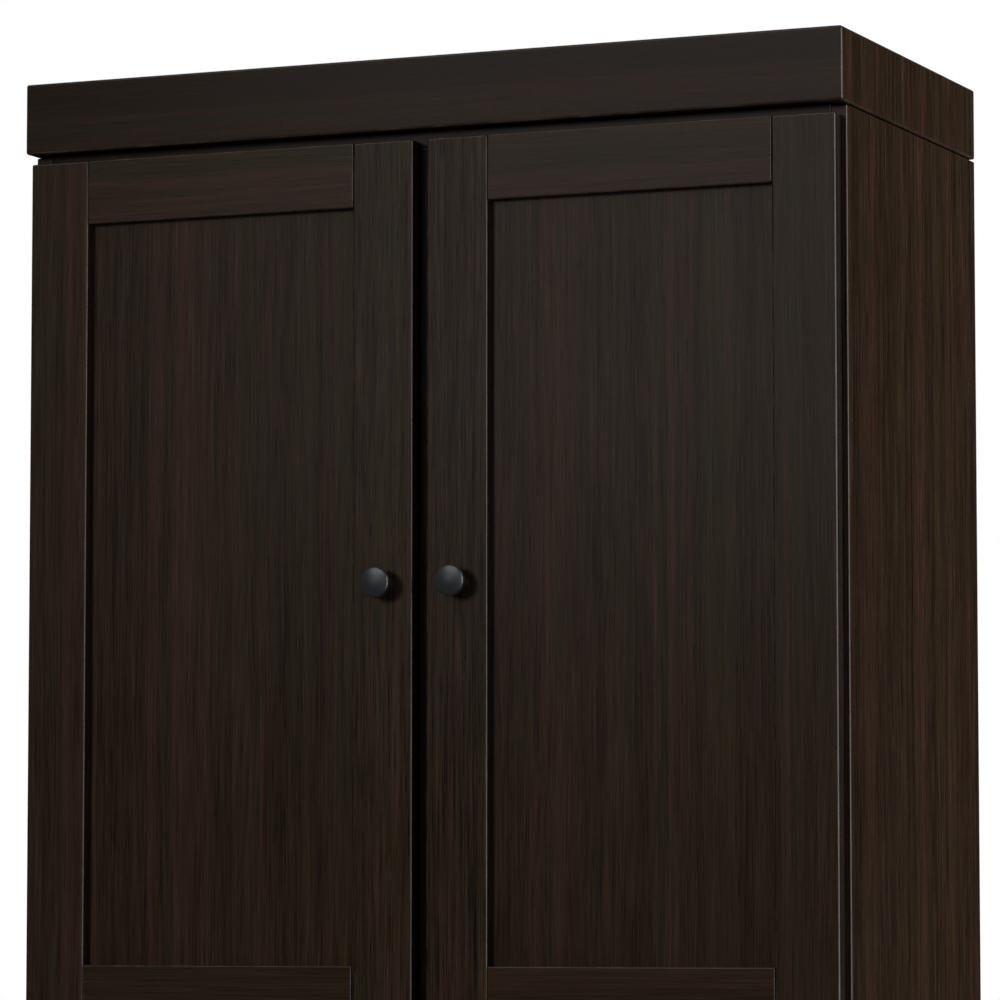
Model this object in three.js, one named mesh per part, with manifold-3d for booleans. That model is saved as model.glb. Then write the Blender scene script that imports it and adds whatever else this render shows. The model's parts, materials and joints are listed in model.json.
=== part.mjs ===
// Linen cabinet with a boxed cornice and four panelled doors.
// Millimetres, +Z up, the front towards -Y, the origin on the floor under the middle.

import * as THREE from 'three';
import { RoundedBoxGeometry } from 'three/addons/geometries/RoundedBoxGeometry.js';
import { mergeVertices } from 'three/addons/utils/BufferGeometryUtils.js';
import Module from 'manifold-3d';

const wasm = await Module();
wasm.setup();

// Overall
const cabinetHeight = 1830;
const corniceWidth = 867;
const corniceHeight = 71;
const corniceBackInset = 6;
const bodyDepth = 413;

// Boards
const boardThickness = 16;
const backThickness = 3;
const backRebateWidth = 8;
const sideInset = 2.3;
const boardEase = 1.5;
const corniceEase = 2.5;
const mitreGap = 0.1;
const corniceTopDrop = 1;

// Plinth and shelves
const plinthHeight = 80;
const plinthSetback = 30;
const shelfSetback = 22;
const shelfSideClearance = 0.8;
const upperShelfCount = 2;
const lowerShelfCount = 1;

// Shelf pins and their rows of holes
const pinRadius = 2.5;
const pinReach = 8;
const pinHoleDepth = 7;
const pinHolePitch = 32;
const pinRowInset = 37;
const pinHoleSteps = [-2, -1, 1, 2];
const pinSides = 6;

// Doors
const doorThickness = 18;
const doorBackGap = 2;
const doorEndInset = 7.2;
const doorCentreGap = 15.3;
const doorRowGap = 15;
const doorBoardOverlap = 5.5;
const upperDoorHeight = 863.7;
const frameWidth = 63.5;
const doorEase = 1.75;
const panelRecess = 10.5;
const panelThickness = 4;
const grooveDepth = 8;
const fitClearance = 0.3;

// Knobs, measured forward from the door's face
const knobStudRadius = 2;
const knobStudLength = 12;
const knobFootRadius = 8;
const knobFootHeight = 1.5;
const knobWaistRadius = 6;
const knobWaistHeight = 7;
const knobRimRadius = 15;
const knobRimBack = 13.5;
const knobRimFront = 17;
const knobDomeEdge = 1.2;
const knobProjection = 23;
const knobSides = 18;
const knobBoreSides = 8;

// Hinge cup, let into the back of the door
const hingeEndInset = 90;
const hingeAxisInset = 6;
const hingeAxisDepth = 10;
const cupRadius = 17.5;
const cupEdgeDistance = 3;
const cupDepth = 14;
const cupWall = 0.6;
const cupRim = 0.5;
const flangeThickness = 1;
const flangeOffset = 6;
const flangeWidth = 14;
const flangeReach = 30;
const flangeCorner = 5;
const hingePinRadius = 1;
const hingePinClearance = 0.2;
const cupSides = 18;
const hingePinSides = 8;

// Hinge arm and its plate, on the inside of the cabinet's side
const knuckleRadius = 1.8;
const hookWidth = 6.5;
const hookThickness = 2.3;
const hookDrop = 2.9;
const hookReach = 14.6;
const hookCorner = 3;
const armWidth = 14;
const armFlareStart = 4;
const armFlareEnd = 15;
const armLength = 58;
const armDepth = 5.5;
const ridgeWidth = 10;
const ridgeEndInset = 5;
const plateThickness = 2;
const plateSetback = 37;
const plateWidth = 15;
const plateReach = 25;
const plateCorner = 6;

// Cutting and rounding
const overrun = 5;
const weldDistance = 0.0001;
const easeSegments = 1;
const cornerSegments = 3;

// Heights
const corniceBottom = cabinetHeight - corniceHeight;
const topBoardBottom = corniceBottom - boardThickness;
const bottomBoardTop = plinthHeight + boardThickness;
const upperDoorTop = topBoardBottom + doorBoardOverlap;
const upperDoorBottom = upperDoorTop - upperDoorHeight;
const lowerDoorTop = upperDoorBottom - doorRowGap;
const lowerDoorBottom = bottomBoardTop - doorBoardOverlap;
const middleBoardTop = (upperDoorBottom + lowerDoorTop + boardThickness) / 2;
const middleBoardBottom = middleBoardTop - boardThickness;

// Places across the width, from the middle
const corniceHalf = corniceWidth / 2;
const sideOuter = corniceHalf - sideInset;
const sideInner = sideOuter - boardThickness;
const dividerHalf = boardThickness / 2;
const doorOuter = corniceHalf - doorEndInset;
const doorWidth = doorOuter - doorCentreGap / 2;
const hingeAxisX = doorOuter - hingeAxisInset;

// Places from front to back
const frontFace = knobProjection - (knobProjection + bodyDepth) / 2;
const carcassFront = frontFace + doorThickness + doorBackGap;
const carcassBack = frontFace + bodyDepth;
const corniceBack = carcassBack - corniceBackInset;
const boardsBack = carcassBack - backThickness;
const hingeAxisY = frontFace + doorThickness - hingeAxisDepth;

// Door faces and the panel's groove, from the hinge axis
const doorFront = hingeAxisDepth - doorThickness;
const doorBack = hingeAxisDepth;
const panelFront = doorFront + panelRecess;
const panelBack = panelFront + panelThickness;

// Colours and surfaces
const finishes = {
  foil: { color: 0x2c2622, roughness: 0.42, metalness: 0 },
  lining: { color: 0x2f2823, roughness: 0.6, metalness: 0 },
  knob: { color: 0x3b3a3c, roughness: 0.34, metalness: 0.9 },
  steel: { color: 0x9c9c98, roughness: 0.35, metalness: 1 },
};

const sides = [
  { name: 'left', sign: -1 },
  { name: 'right', sign: 1 },
];
const doorRows = [
  { name: 'upper', bottom: upperDoorBottom, height: upperDoorHeight },
  { name: 'lower', bottom: lowerDoorBottom, height: lowerDoorTop - lowerDoorBottom },
];
const compartments = [
  { name: 'upper', floor: middleBoardTop, roof: topBoardBottom, shelves: upperShelfCount },
  { name: 'lower', floor: bottomBoardTop, roof: middleBoardBottom, shelves: lowerShelfCount },
];

const cabinet = new THREE.Group();

// Solids from geometries, and back

function solidFrom(geometry) {
  const bare = geometry.clone();
  bare.deleteAttribute('normal');
  bare.deleteAttribute('uv');
  const merged = mergeVertices(bare, weldDistance);
  const vertProperties = Float32Array.from(merged.attributes.position.array);
  const triVerts = Uint32Array.from(merged.index.array);
  return new wasm.Manifold(new wasm.Mesh({ numProp: 3, vertProperties, triVerts }));
}

function geometryFrom(solid) {
  const mesh = solid.getMesh();
  const geometry = new THREE.BufferGeometry();
  geometry.setAttribute('position', new THREE.BufferAttribute(mesh.vertProperties, 3));
  geometry.setIndex(new THREE.BufferAttribute(mesh.triVerts, 1));
  const faceted = geometry.toNonIndexed();
  faceted.computeVertexNormals();
  return faceted;
}

function addPiece(parent, name, solid, finish) {
  const mesh = new THREE.Mesh(geometryFrom(solid), new THREE.MeshStandardMaterial(finishes[finish]));
  mesh.name = name;
  parent.add(mesh);
}

// Boards, each given by its two ends along x, y and z

function placed(makeGeometry, ends) {
  const sizes = ends.map(([start, end]) => Math.abs(end - start));
  const middles = ends.map(([start, end]) => (start + end) / 2);
  return solidFrom(makeGeometry(...sizes).translate(...middles));
}

function block(xEnds, yEnds, zEnds) {
  return placed((width, depth, height) => new THREE.BoxGeometry(width, depth, height), [xEnds, yEnds, zEnds]);
}

function easedBoard(xEnds, yEnds, zEnds, ease) {
  const makeBoard = (width, depth, height) => new RoundedBoxGeometry(width, depth, height, easeSegments, ease);
  return placed(makeBoard, [xEnds, yEnds, zEnds]);
}

// Round rods along one axis, with a flat facing up or back

function rod(axis, radius, count, ends, centre) {
  const [start, end] = ends;
  const geometry = new THREE.CylinderGeometry(radius, radius, Math.abs(end - start), count);
  geometry.rotateY(Math.PI / count);
  if (axis === 'x') geometry.rotateZ(Math.PI / 2);
  if (axis === 'z') geometry.rotateX(Math.PI / 2);
  const middle = new THREE.Vector3(...centre);
  middle[axis] = (start + end) / 2;
  return solidFrom(geometry.translate(middle.x, middle.y, middle.z));
}

// Plates cut from an outline and stood across x or y

function roundedOutline(width, height, corner) {
  const outline = new THREE.Shape();
  const right = width / 2;
  const top = height / 2;
  outline.moveTo(corner - right, -top);
  outline.lineTo(right - corner, -top);
  outline.absarc(right - corner, corner - top, corner, -Math.PI / 2, 0);
  outline.lineTo(right, top - corner);
  outline.absarc(right - corner, top - corner, corner, 0, Math.PI / 2);
  outline.lineTo(corner - right, top);
  outline.absarc(corner - right, top - corner, corner, Math.PI / 2, Math.PI);
  outline.lineTo(-right, corner - top);
  outline.absarc(corner - right, corner - top, corner, Math.PI, 1.5 * Math.PI);
  return outline;
}

function extruded(outline, thickness) {
  return new THREE.ExtrudeGeometry(outline, {
    depth: thickness,
    bevelEnabled: false,
    curveSegments: cornerSegments,
  });
}

// Cornice: a box with mitred front corners, a back rail and a let-in top

function mitreWedge(points) {
  const outline = new THREE.Shape(points.map(([x, y]) => new THREE.Vector2(x, y)));
  const wedge = extruded(outline, corniceHeight + 2 * overrun);
  return solidFrom(wedge.translate(0, 0, corniceBottom - overrun));
}

function addCornice() {
  const zEnds = [corniceBottom, cabinetHeight];
  const innerHalf = corniceHalf - boardThickness;
  const innerFront = frontFace + boardThickness;
  const box = easedBoard([-corniceHalf, corniceHalf], [frontFace, corniceBack], zEnds, corniceEase);
  const hollow = block(
    [-innerHalf, innerHalf],
    [innerFront, corniceBack + overrun],
    [corniceBottom - overrun, cabinetHeight + overrun],
  );
  const shell = box.subtract(hollow);

  const reach = boardThickness + overrun;
  const outside = corniceHalf + overrun;
  const ahead = frontFace - overrun;
  const frontWedge = mitreWedge([
    [-outside + mitreGap, ahead],
    [outside - mitreGap, ahead],
    [corniceHalf - reach - mitreGap, frontFace + reach],
    [reach - corniceHalf + mitreGap, frontFace + reach],
  ]);
  addPiece(cabinet, 'cornice_front', shell.intersect(frontWedge), 'foil');
  for (const { name, sign } of sides) {
    const sideWedge = mitreWedge([
      [sign * outside, ahead],
      [sign * outside, corniceBack + overrun],
      [sign * (corniceHalf - reach), corniceBack + overrun],
      [sign * (corniceHalf - reach), frontFace + reach],
    ]);
    addPiece(cabinet, `cornice_${name}`, shell.intersect(sideWedge), 'foil');
  }

  const backRail = easedBoard(
    [-innerHalf, innerHalf],
    [corniceBack - boardThickness, corniceBack],
    zEnds,
    boardEase,
  );
  addPiece(cabinet, 'cornice_back', backRail, 'lining');
  const lidTop = cabinetHeight - corniceTopDrop;
  const lid = easedBoard(
    [-innerHalf, innerHalf],
    [innerFront, corniceBack - boardThickness],
    [lidTop - boardThickness, lidTop],
    boardEase,
  );
  addPiece(cabinet, 'cornice_top', lid, 'foil');
}

// Shelf heights, pins and rows of holes

function shelfBottoms({ floor, roof, shelves }) {
  const clear = (roof - floor - shelves * boardThickness) / (shelves + 1);
  return Array.from({ length: shelves }, (unused, index) => floor + clear + index * (clear + boardThickness));
}

const pinDrop = pinRadius * Math.cos(Math.PI / pinSides);
const pinRows = [carcassFront + pinRowInset, boardsBack - pinRowInset];

// Works the pins and holes of one face into a board that stands upright.
// The face looks along the sign, towards the shelves.

function withPinRows(board, face, sign, rows) {
  let worked = board;
  for (const bottom of rows.flatMap(shelfBottoms)) {
    for (const y of pinRows) {
      const pinCentre = [0, y, bottom - pinDrop];
      const pin = rod('x', pinRadius, pinSides, [face - sign * pinHoleDepth, face + sign * pinReach], pinCentre);
      worked = worked.add(pin);
      for (const step of pinHoleSteps) {
        const centre = [0, y, bottom - pinDrop + step * pinHolePitch];
        const ends = [face - sign * pinHoleDepth, face + sign * overrun];
        worked = worked.subtract(rod('x', pinRadius, pinSides, ends, centre));
      }
    }
  }
  return worked;
}

// Carcass: sides to the floor, boards between them, dividers and a thin back

function addCarcass() {
  const depthEnds = [carcassFront, boardsBack];
  for (const { name, sign } of sides) {
    const panel = easedBoard(
      [sign * sideInner, sign * sideOuter],
      [carcassFront, carcassBack],
      [0, corniceBottom],
      boardEase,
    );
    const rebate = block(
      [sign * (sideInner - overrun), sign * (sideInner + backRebateWidth)],
      [boardsBack, carcassBack + overrun],
      [-overrun, corniceBottom + overrun],
    );
    const rebated = panel.subtract(rebate);
    addPiece(cabinet, `side_panel_${name}`, withPinRows(rebated, sign * sideInner, -sign, compartments), 'foil');
  }

  const levels = { bottom_board: plinthHeight, middle_board: middleBoardBottom, top_board: topBoardBottom };
  for (const [name, bottom] of Object.entries(levels)) {
    const zEnds = [bottom, bottom + boardThickness];
    addPiece(cabinet, name, easedBoard([-sideInner, sideInner], depthEnds, zEnds, boardEase), 'foil');
  }

  for (const compartment of compartments) {
    const { name, floor, roof } = compartment;
    let divider = easedBoard([-dividerHalf, dividerHalf], depthEnds, [floor, roof], boardEase);
    for (const { sign } of sides) {
      divider = withPinRows(divider, sign * dividerHalf, sign, [compartment]);
    }
    addPiece(cabinet, `${name}_divider`, divider, 'foil');
  }

  const backHalf = sideInner + backRebateWidth - fitClearance;
  const back = block([-backHalf, backHalf], [boardsBack, carcassBack], [plinthHeight, corniceBottom]);
  addPiece(cabinet, 'back_panel', back, 'lining');

  const plinthFront = carcassFront + plinthSetback;
  const plinth = easedBoard(
    [-sideInner, sideInner],
    [plinthFront, plinthFront + boardThickness],
    [0, plinthHeight],
    boardEase,
  );
  addPiece(cabinet, 'plinth_front', plinth, 'foil');
}

function addShelves() {
  const xStart = dividerHalf + shelfSideClearance;
  const xEnd = sideInner - shelfSideClearance;
  for (const compartment of compartments) {
    shelfBottoms(compartment).forEach((bottom, index) => {
      for (const { name, sign } of sides) {
        const shelf = easedBoard(
          [sign * xStart, sign * xEnd],
          [carcassFront + shelfSetback, boardsBack - fitClearance],
          [bottom, bottom + boardThickness],
          boardEase,
        );
        addPiece(cabinet, `${compartment.name}_shelf_${name}_${index + 1}`, shelf, 'foil');
      }
    });
  }
}

// Door frame and panel, from the hinge axis and the door's bottom edge.
// Distances across the door run inwards from its outer edge.

function across(sign, distance) {
  return sign * (hingeAxisInset - distance);
}

function panelGroove(sign, acrossEnds, zEnds) {
  return block(
    acrossEnds.map((distance) => across(sign, distance)),
    [panelFront - fitClearance, panelBack + fitClearance],
    zEnds,
  );
}

function doorBoard(sign, [near, far], zEnds) {
  return easedBoard([across(sign, near), across(sign, far)], [doorFront, doorBack], zEnds, doorEase);
}

function hingeHeights(height) {
  return [hingeEndInset, height - hingeEndInset];
}

function hingeStile(sign, height) {
  const groove = panelGroove(sign, [frameWidth - grooveDepth, frameWidth + overrun], [-overrun, height + overrun]);
  let stile = doorBoard(sign, [0, frameWidth], [0, height]).subtract(groove);
  for (const z of hingeHeights(height)) {
    const centre = [across(sign, cupEdgeDistance + cupRadius), 0, z];
    const ends = [doorBack - cupDepth - fitClearance, doorBack + overrun];
    stile = stile.subtract(rod('y', cupRadius + fitClearance, cupSides, ends, centre));
  }
  return stile;
}

function knobPlace(sign, height) {
  return [across(sign, doorWidth - frameWidth / 2), 0, height / 2];
}

function lockStile(sign, height) {
  const near = doorWidth - frameWidth;
  const groove = panelGroove(sign, [near - overrun, near + grooveDepth], [-overrun, height + overrun]);
  const boreEnds = [doorFront - overrun, doorBack + overrun];
  const bore = rod('y', knobStudRadius + fitClearance, knobBoreSides, boreEnds, knobPlace(sign, height));
  return doorBoard(sign, [near, doorWidth], [0, height]).subtract(groove).subtract(bore);
}

function rail(sign, zEnds, grooveEnds) {
  const near = frameWidth;
  const far = doorWidth - frameWidth;
  const tenonLength = grooveDepth - fitClearance;
  const tongue = block(
    [across(sign, near - tenonLength), across(sign, far + tenonLength)],
    [panelFront, panelBack],
    [zEnds[0] + doorEase, zEnds[1] - doorEase],
  );
  const groove = panelGroove(sign, [near - grooveDepth - overrun, far + grooveDepth + overrun], grooveEnds);
  return doorBoard(sign, [near, far], zEnds).add(tongue).subtract(groove);
}

function bottomRail(sign) {
  return rail(sign, [0, frameWidth], [frameWidth - grooveDepth, frameWidth + overrun]);
}

function topRail(sign, height) {
  const bottom = height - frameWidth;
  return rail(sign, [bottom, height], [bottom - overrun, bottom + grooveDepth]);
}

function doorPanel(sign, height) {
  const edge = frameWidth - grooveDepth + fitClearance;
  return block(
    [across(sign, edge), across(sign, doorWidth - edge)],
    [panelFront, panelBack],
    [edge, height - edge],
  );
}

// Knob, turned about its own axis

function knobProfile() {
  const profile = new THREE.Path();
  profile.moveTo(0, knobStudLength);
  profile.lineTo(knobStudRadius, knobStudLength);
  profile.lineTo(knobStudRadius, 0);
  profile.lineTo(knobFootRadius, 0);
  profile.lineTo(knobFootRadius, -knobFootHeight);
  profile.quadraticCurveTo(knobWaistRadius, -knobFootHeight, knobWaistRadius, -knobWaistHeight);
  profile.quadraticCurveTo(knobWaistRadius, -knobRimBack, knobRimRadius, -knobRimBack);
  profile.lineTo(knobRimRadius, -knobRimFront);
  profile.lineTo(knobRimRadius - knobDomeEdge, -knobRimFront - knobDomeEdge);
  profile.quadraticCurveTo(knobRimRadius / 2, -knobProjection, 0, -knobProjection);
  return profile.getPoints(cornerSegments);
}

function knob(sign, height) {
  const [x, , z] = knobPlace(sign, height);
  const turned = new THREE.LatheGeometry(knobProfile().reverse(), knobSides);
  return solidFrom(turned.translate(x, doorFront, z));
}

// Hinge cup with its flange and the fixed pin that the arm turns on

function hingeCup(sign, z) {
  const x = across(sign, cupEdgeDistance + cupRadius);
  const cupFloor = doorBack - cupDepth;
  const flangeTop = doorBack + flangeThickness;
  const shell = rod('y', cupRadius, cupSides, [cupFloor, flangeTop], [x, 0, z]);
  const rim = rod('y', cupRadius + cupRim, cupSides, [doorBack, flangeTop], [x, 0, z]);
  const wings = extruded(roundedOutline(flangeWidth, 2 * flangeReach, flangeCorner), flangeThickness);
  wings.rotateX(Math.PI / 2);
  wings.translate(x - sign * flangeOffset, flangeTop, z);
  const hollowEnds = [cupFloor + cupWall, flangeTop + overrun];
  const hollow = rod('y', cupRadius - cupWall, cupSides, hollowEnds, [x, 0, z]);
  const pin = rod('z', hingePinRadius, hingePinSides, [z - cupRadius, z + cupRadius], [0, 0, 0]).intersect(shell);
  return shell.add(rim).add(solidFrom(wings)).subtract(hollow).add(pin);
}

// Hinge arm: a knuckle on the pin, a hook round the door's edge, and the arm on its plate.
// It is drawn from the hinge axis, with the cabinet's side beyond it.

const armSideFace = hingeAxisX - sideInner;
const armFrontEdge = carcassFront - hingeAxisY;

function hookOutline(sign) {
  const inner = hookReach - hookThickness;
  const outline = new THREE.Shape();
  outline.moveTo(0, -knuckleRadius);
  outline.lineTo(-sign * knuckleRadius, -hookDrop);
  outline.lineTo(-sign * (hookReach - hookCorner), -hookDrop);
  outline.quadraticCurveTo(-sign * hookReach, -hookDrop, -sign * hookReach, hookCorner - hookDrop);
  outline.lineTo(-sign * hookReach, armFrontEdge + armFlareEnd);
  outline.lineTo(-sign * inner, armFrontEdge + armFlareEnd);
  outline.lineTo(-sign * inner, 0);
  outline.lineTo(-sign * (inner - hookCorner / 2), hookThickness - hookDrop);
  outline.lineTo(0, hookThickness - hookDrop);
  return outline;
}

function armOutline() {
  const outline = new THREE.Shape();
  const narrow = hookWidth / 2;
  const wide = armWidth / 2;
  const back = armFrontEdge + armLength;
  outline.moveTo(armFlareStart, -narrow);
  outline.lineTo(armFlareEnd, -wide);
  outline.lineTo(back - wide, -wide);
  outline.absarc(back - wide, 0, wide, -Math.PI / 2, Math.PI / 2);
  outline.lineTo(armFlareEnd, wide);
  outline.lineTo(armFlareStart, narrow);
  return outline;
}

function standAcross(geometry) {
  geometry.rotateX(Math.PI / 2);
  geometry.rotateZ(Math.PI / 2);
  return geometry;
}

function hingeArm(sign, z) {
  const hookTop = -sign * hookReach;
  const side = -sign * armSideFace;
  const hook = solidFrom(extruded(hookOutline(sign), hookWidth).translate(0, 0, z - hookWidth / 2));
  const knuckle = rod('z', knuckleRadius, cupSides / 2, [z - hookWidth / 2, z + hookWidth / 2], [0, 0, 0]);
  const flat = standAcross(extruded(armOutline(), hookThickness));
  flat.translate(sign > 0 ? hookTop : hookTop - hookThickness, 0, z);
  const back = armFrontEdge + armLength;
  const bodyEnds = [hookTop, hookTop + sign * armDepth];
  const body = block(bodyEnds, [armFlareEnd, back - armWidth / 2], [z - armWidth / 2, z + armWidth / 2]);
  const ridgeEnds = [armFrontEdge + ridgeEndInset, back - armWidth / 2 - ridgeEndInset];
  const ridge = block([hookTop + sign * hookThickness, side], ridgeEnds, [z - ridgeWidth / 2, z + ridgeWidth / 2]);
  const plate = standAcross(extruded(roundedOutline(plateWidth, 2 * plateReach, plateCorner), plateThickness));
  plate.translate(sign > 0 ? side - plateThickness : side, armFrontEdge + plateSetback, z);
  const bore = rod('z', hingePinRadius + hingePinClearance, hingePinSides, [z - hookWidth, z + hookWidth], [0, 0, 0]);
  const arm = hook.add(knuckle).add(solidFrom(flat)).add(body).add(ridge).add(solidFrom(plate));
  return arm.subtract(bore);
}

// Doors: a group at each hinge axis, turning about z, and the arms that stay behind

function addDoor(row, side) {
  const { sign } = side;
  const { height } = row;
  const name = `${row.name}_${side.name}`;
  const door = new THREE.Group();
  const fixed = new THREE.Group();
  door.position.set(sign * hingeAxisX, hingeAxisY, row.bottom);
  fixed.position.copy(door.position);
  cabinet.add(door, fixed);

  addPiece(door, `${name}_hinge_stile`, hingeStile(sign, height), 'foil');
  addPiece(door, `${name}_lock_stile`, lockStile(sign, height), 'foil');
  addPiece(door, `${name}_bottom_rail`, bottomRail(sign), 'foil');
  addPiece(door, `${name}_top_rail`, topRail(sign, height), 'foil');
  addPiece(door, `${name}_door_panel`, doorPanel(sign, height), 'foil');
  addPiece(door, `${name}_knob`, knob(sign, height), 'knob');
  hingeHeights(height).forEach((z, index) => {
    addPiece(door, `${name}_hinge_cup_${index + 1}`, hingeCup(sign, z), 'steel');
    addPiece(fixed, `${name}_hinge_arm_${index + 1}`, hingeArm(sign, z), 'steel');
  });
}

addCornice();
addCarcass();
addShelves();
for (const row of doorRows) {
  for (const side of sides) addDoor(row, side);
}

export default cabinet;
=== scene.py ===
# Linen cabinet in black-brown wood-grain foil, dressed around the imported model
import bpy
import bmesh
import json
import math
import random
from mathutils import Matrix, Vector


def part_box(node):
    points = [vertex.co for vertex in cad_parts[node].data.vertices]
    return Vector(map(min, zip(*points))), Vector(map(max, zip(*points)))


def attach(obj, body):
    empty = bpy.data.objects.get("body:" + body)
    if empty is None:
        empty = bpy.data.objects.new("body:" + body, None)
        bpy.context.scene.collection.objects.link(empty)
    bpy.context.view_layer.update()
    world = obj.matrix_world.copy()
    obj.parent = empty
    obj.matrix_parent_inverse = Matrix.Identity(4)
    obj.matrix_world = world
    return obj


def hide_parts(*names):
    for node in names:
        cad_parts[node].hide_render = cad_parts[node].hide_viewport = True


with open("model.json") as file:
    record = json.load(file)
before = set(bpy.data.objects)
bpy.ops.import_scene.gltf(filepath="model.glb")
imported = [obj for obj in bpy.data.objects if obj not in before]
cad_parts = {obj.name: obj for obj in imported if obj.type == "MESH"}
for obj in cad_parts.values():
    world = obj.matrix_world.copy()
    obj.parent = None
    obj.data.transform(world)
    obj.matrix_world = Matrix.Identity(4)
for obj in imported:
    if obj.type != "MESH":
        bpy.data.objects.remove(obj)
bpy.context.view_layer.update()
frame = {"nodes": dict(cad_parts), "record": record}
scene = bpy.context.scene
scene.view_settings.view_transform = "Standard"
mm = 0.001
rowNames = ("upper", "lower")
sideSigns = {"left": -1, "right": 1}
doorNames = [f"{row}_{side}" for row in rowNames for side in sideSigns]
hingeNumbers = (1, 2)
bodyOf = {node: body for body, nodes in frame["record"]["behaviour"]["bodies"].items() for node in nodes}
print("frame loaded:", len(frame["nodes"]), "nodes")


# Camera: far off at mid-height and to the right, tilted up a little at the upper half
camera = {"place": (1.9658, -4.6000, 0.9882), "yaw": 23.122, "pitch": 4.838, "lens": 180.53, "film": 36.0,
          "reach": 100}


def makeCamera(values):
    data = bpy.data.cameras.new("camera")
    data.lens = values["lens"]
    data.sensor_width = values["film"]
    data.clip_end = values["reach"]
    obj = bpy.data.objects.new("camera", data)
    obj.location = values["place"]
    obj.rotation_euler = (math.radians(90 + values["pitch"]), 0, math.radians(values["yaw"]))
    scene.collection.objects.link(obj)
    scene.camera = obj


makeCamera(camera)
print("camera set")


# Node helpers, used by the finishes, the shared groups and the geometry trees alike
def addNode(tree, kind, inputs=None, **settings):
    node = tree.nodes.new(kind)
    for key, value in settings.items():
        setattr(node, key, value)
    for key, value in (inputs or {}).items():
        if isinstance(value, bpy.types.NodeSocket):
            tree.links.new(value, node.inputs[key])
        else:
            node.inputs[key].default_value = value
    return node


def sumUp(tree, operation, first, second=0.0, third=0.0):
    return addNode(tree, "ShaderNodeMath", {0: first, 1: second, 2: third}, operation=operation).outputs[0]


def times(tree, first, second):
    return sumUp(tree, "MULTIPLY", first, second)


def stepUp(tree, value, fromLow, fromHigh, toLow=0.0, toHigh=1.0, kind="SMOOTHSTEP"):
    inputs = {"Value": value, "From Min": fromLow, "From Max": fromHigh, "To Min": toLow, "To Max": toHigh}
    return addNode(tree, "ShaderNodeMapRange", inputs, interpolation_type=kind).outputs["Result"]


# A mix node's colour sockets share their names with other sockets, so they go by number
mixSockets = {"first": 6, "second": 7, "result": 2}


def mixColour(tree, share, first, second):
    inputs = {"Factor": share, mixSockets["first"]: first, mixSockets["second"]: second}
    return addNode(tree, "ShaderNodeMix", inputs, data_type="RGBA").outputs[mixSockets["result"]]


def scaled(tree, vector, amount):
    return addNode(tree, "ShaderNodeVectorMath", {0: vector, "Scale": amount}, operation="SCALE").outputs[0]


def newGroup(name, kind, inputs, outputs):
    tree = bpy.data.node_groups.new(name, kind)
    for label, (socketKind, default) in inputs.items():
        socket = tree.interface.new_socket(label, in_out="INPUT", socket_type="NodeSocket" + socketKind)
        if default is not None:
            socket.default_value = default
    for label, socketKind in outputs.items():
        tree.interface.new_socket(label, in_out="OUTPUT", socket_type="NodeSocket" + socketKind)
    start = tree.nodes.new("NodeGroupInput")
    end = tree.nodes.new("NodeGroupOutput")
    return tree, start.outputs, end.inputs


# Noise whose marks are `across` wide and `along` long, in metres; its values lie round noiseMean
noiseMean = 0.5


def grainNoise(tree, place, across, along, detail, roughness=0.5, shift=(0, 0, 0)):
    inputs = {"Scale": (1 / across, 1 / across, 1 / along), "Location": shift, "Vector": place}
    mapped = addNode(tree, "ShaderNodeMapping", inputs).outputs[0]
    inputs = {"Vector": mapped, "Scale": 1.0, "Detail": detail, "Roughness": roughness}
    return addNode(tree, "ShaderNodeTexNoise", inputs).outputs[0]


def aboutMean(tree, noise, amount):
    return times(tree, sumUp(tree, "SUBTRACT", noise, noiseMean), amount)


# Printed wood grain, running along z of the place that it is given
grainWander = {"across": 0.16, "along": 0.8, "detail": 2.0}
grainLayers = {
    "band": {"across": 0.030, "along": 3.2, "detail": 2.0, "roughness": 0.45, "shift": (3.1, 0.4, 7.7)},
    "tint": {"across": 0.019, "along": 1.6, "detail": 2.0, "shift": (11.3, 5.2, 1.9)},
    "stripe": {"across": 0.0060, "along": 2.4, "detail": 2.0, "roughness": 0.6, "shift": (5.9, 3.6, 6.2)},
    "streak": {"across": 0.0052, "along": 0.18, "detail": 3.0, "roughness": 0.6, "shift": (0.7, 9.1, 4.4)},
    "fine": {"across": 0.0013, "along": 0.085, "detail": 2.0, "roughness": 0.6, "shift": (6.0, 2.2, 8.3)},
    "pore": {"across": 0.0010, "along": 0.022, "detail": 1.0, "shift": (1.5, 7.4, 2.6)},
    "slow": {"across": 0.090, "along": 1.1, "detail": 1.0, "roughness": 0.4, "shift": (2.2, 8.8, 5.1)},
}
grainMarks = {"sway": 0.016, "ringPitch": 0.016, "ringDrift": 7.0, "ringEnds": (0.1, 1.0),
              "ringBreaks": (0.35, 0.65), "tintEnds": (0.42, 0.58), "bandEnds": (0.38, 0.62),
              "poreEnds": (0.58, 0.72), "fleckEnds": (0.56, 0.70), "fleckBreaks": (0.46, 0.62),
              "fineHeight": 0.6, "glossShare": 0.5}


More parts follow.
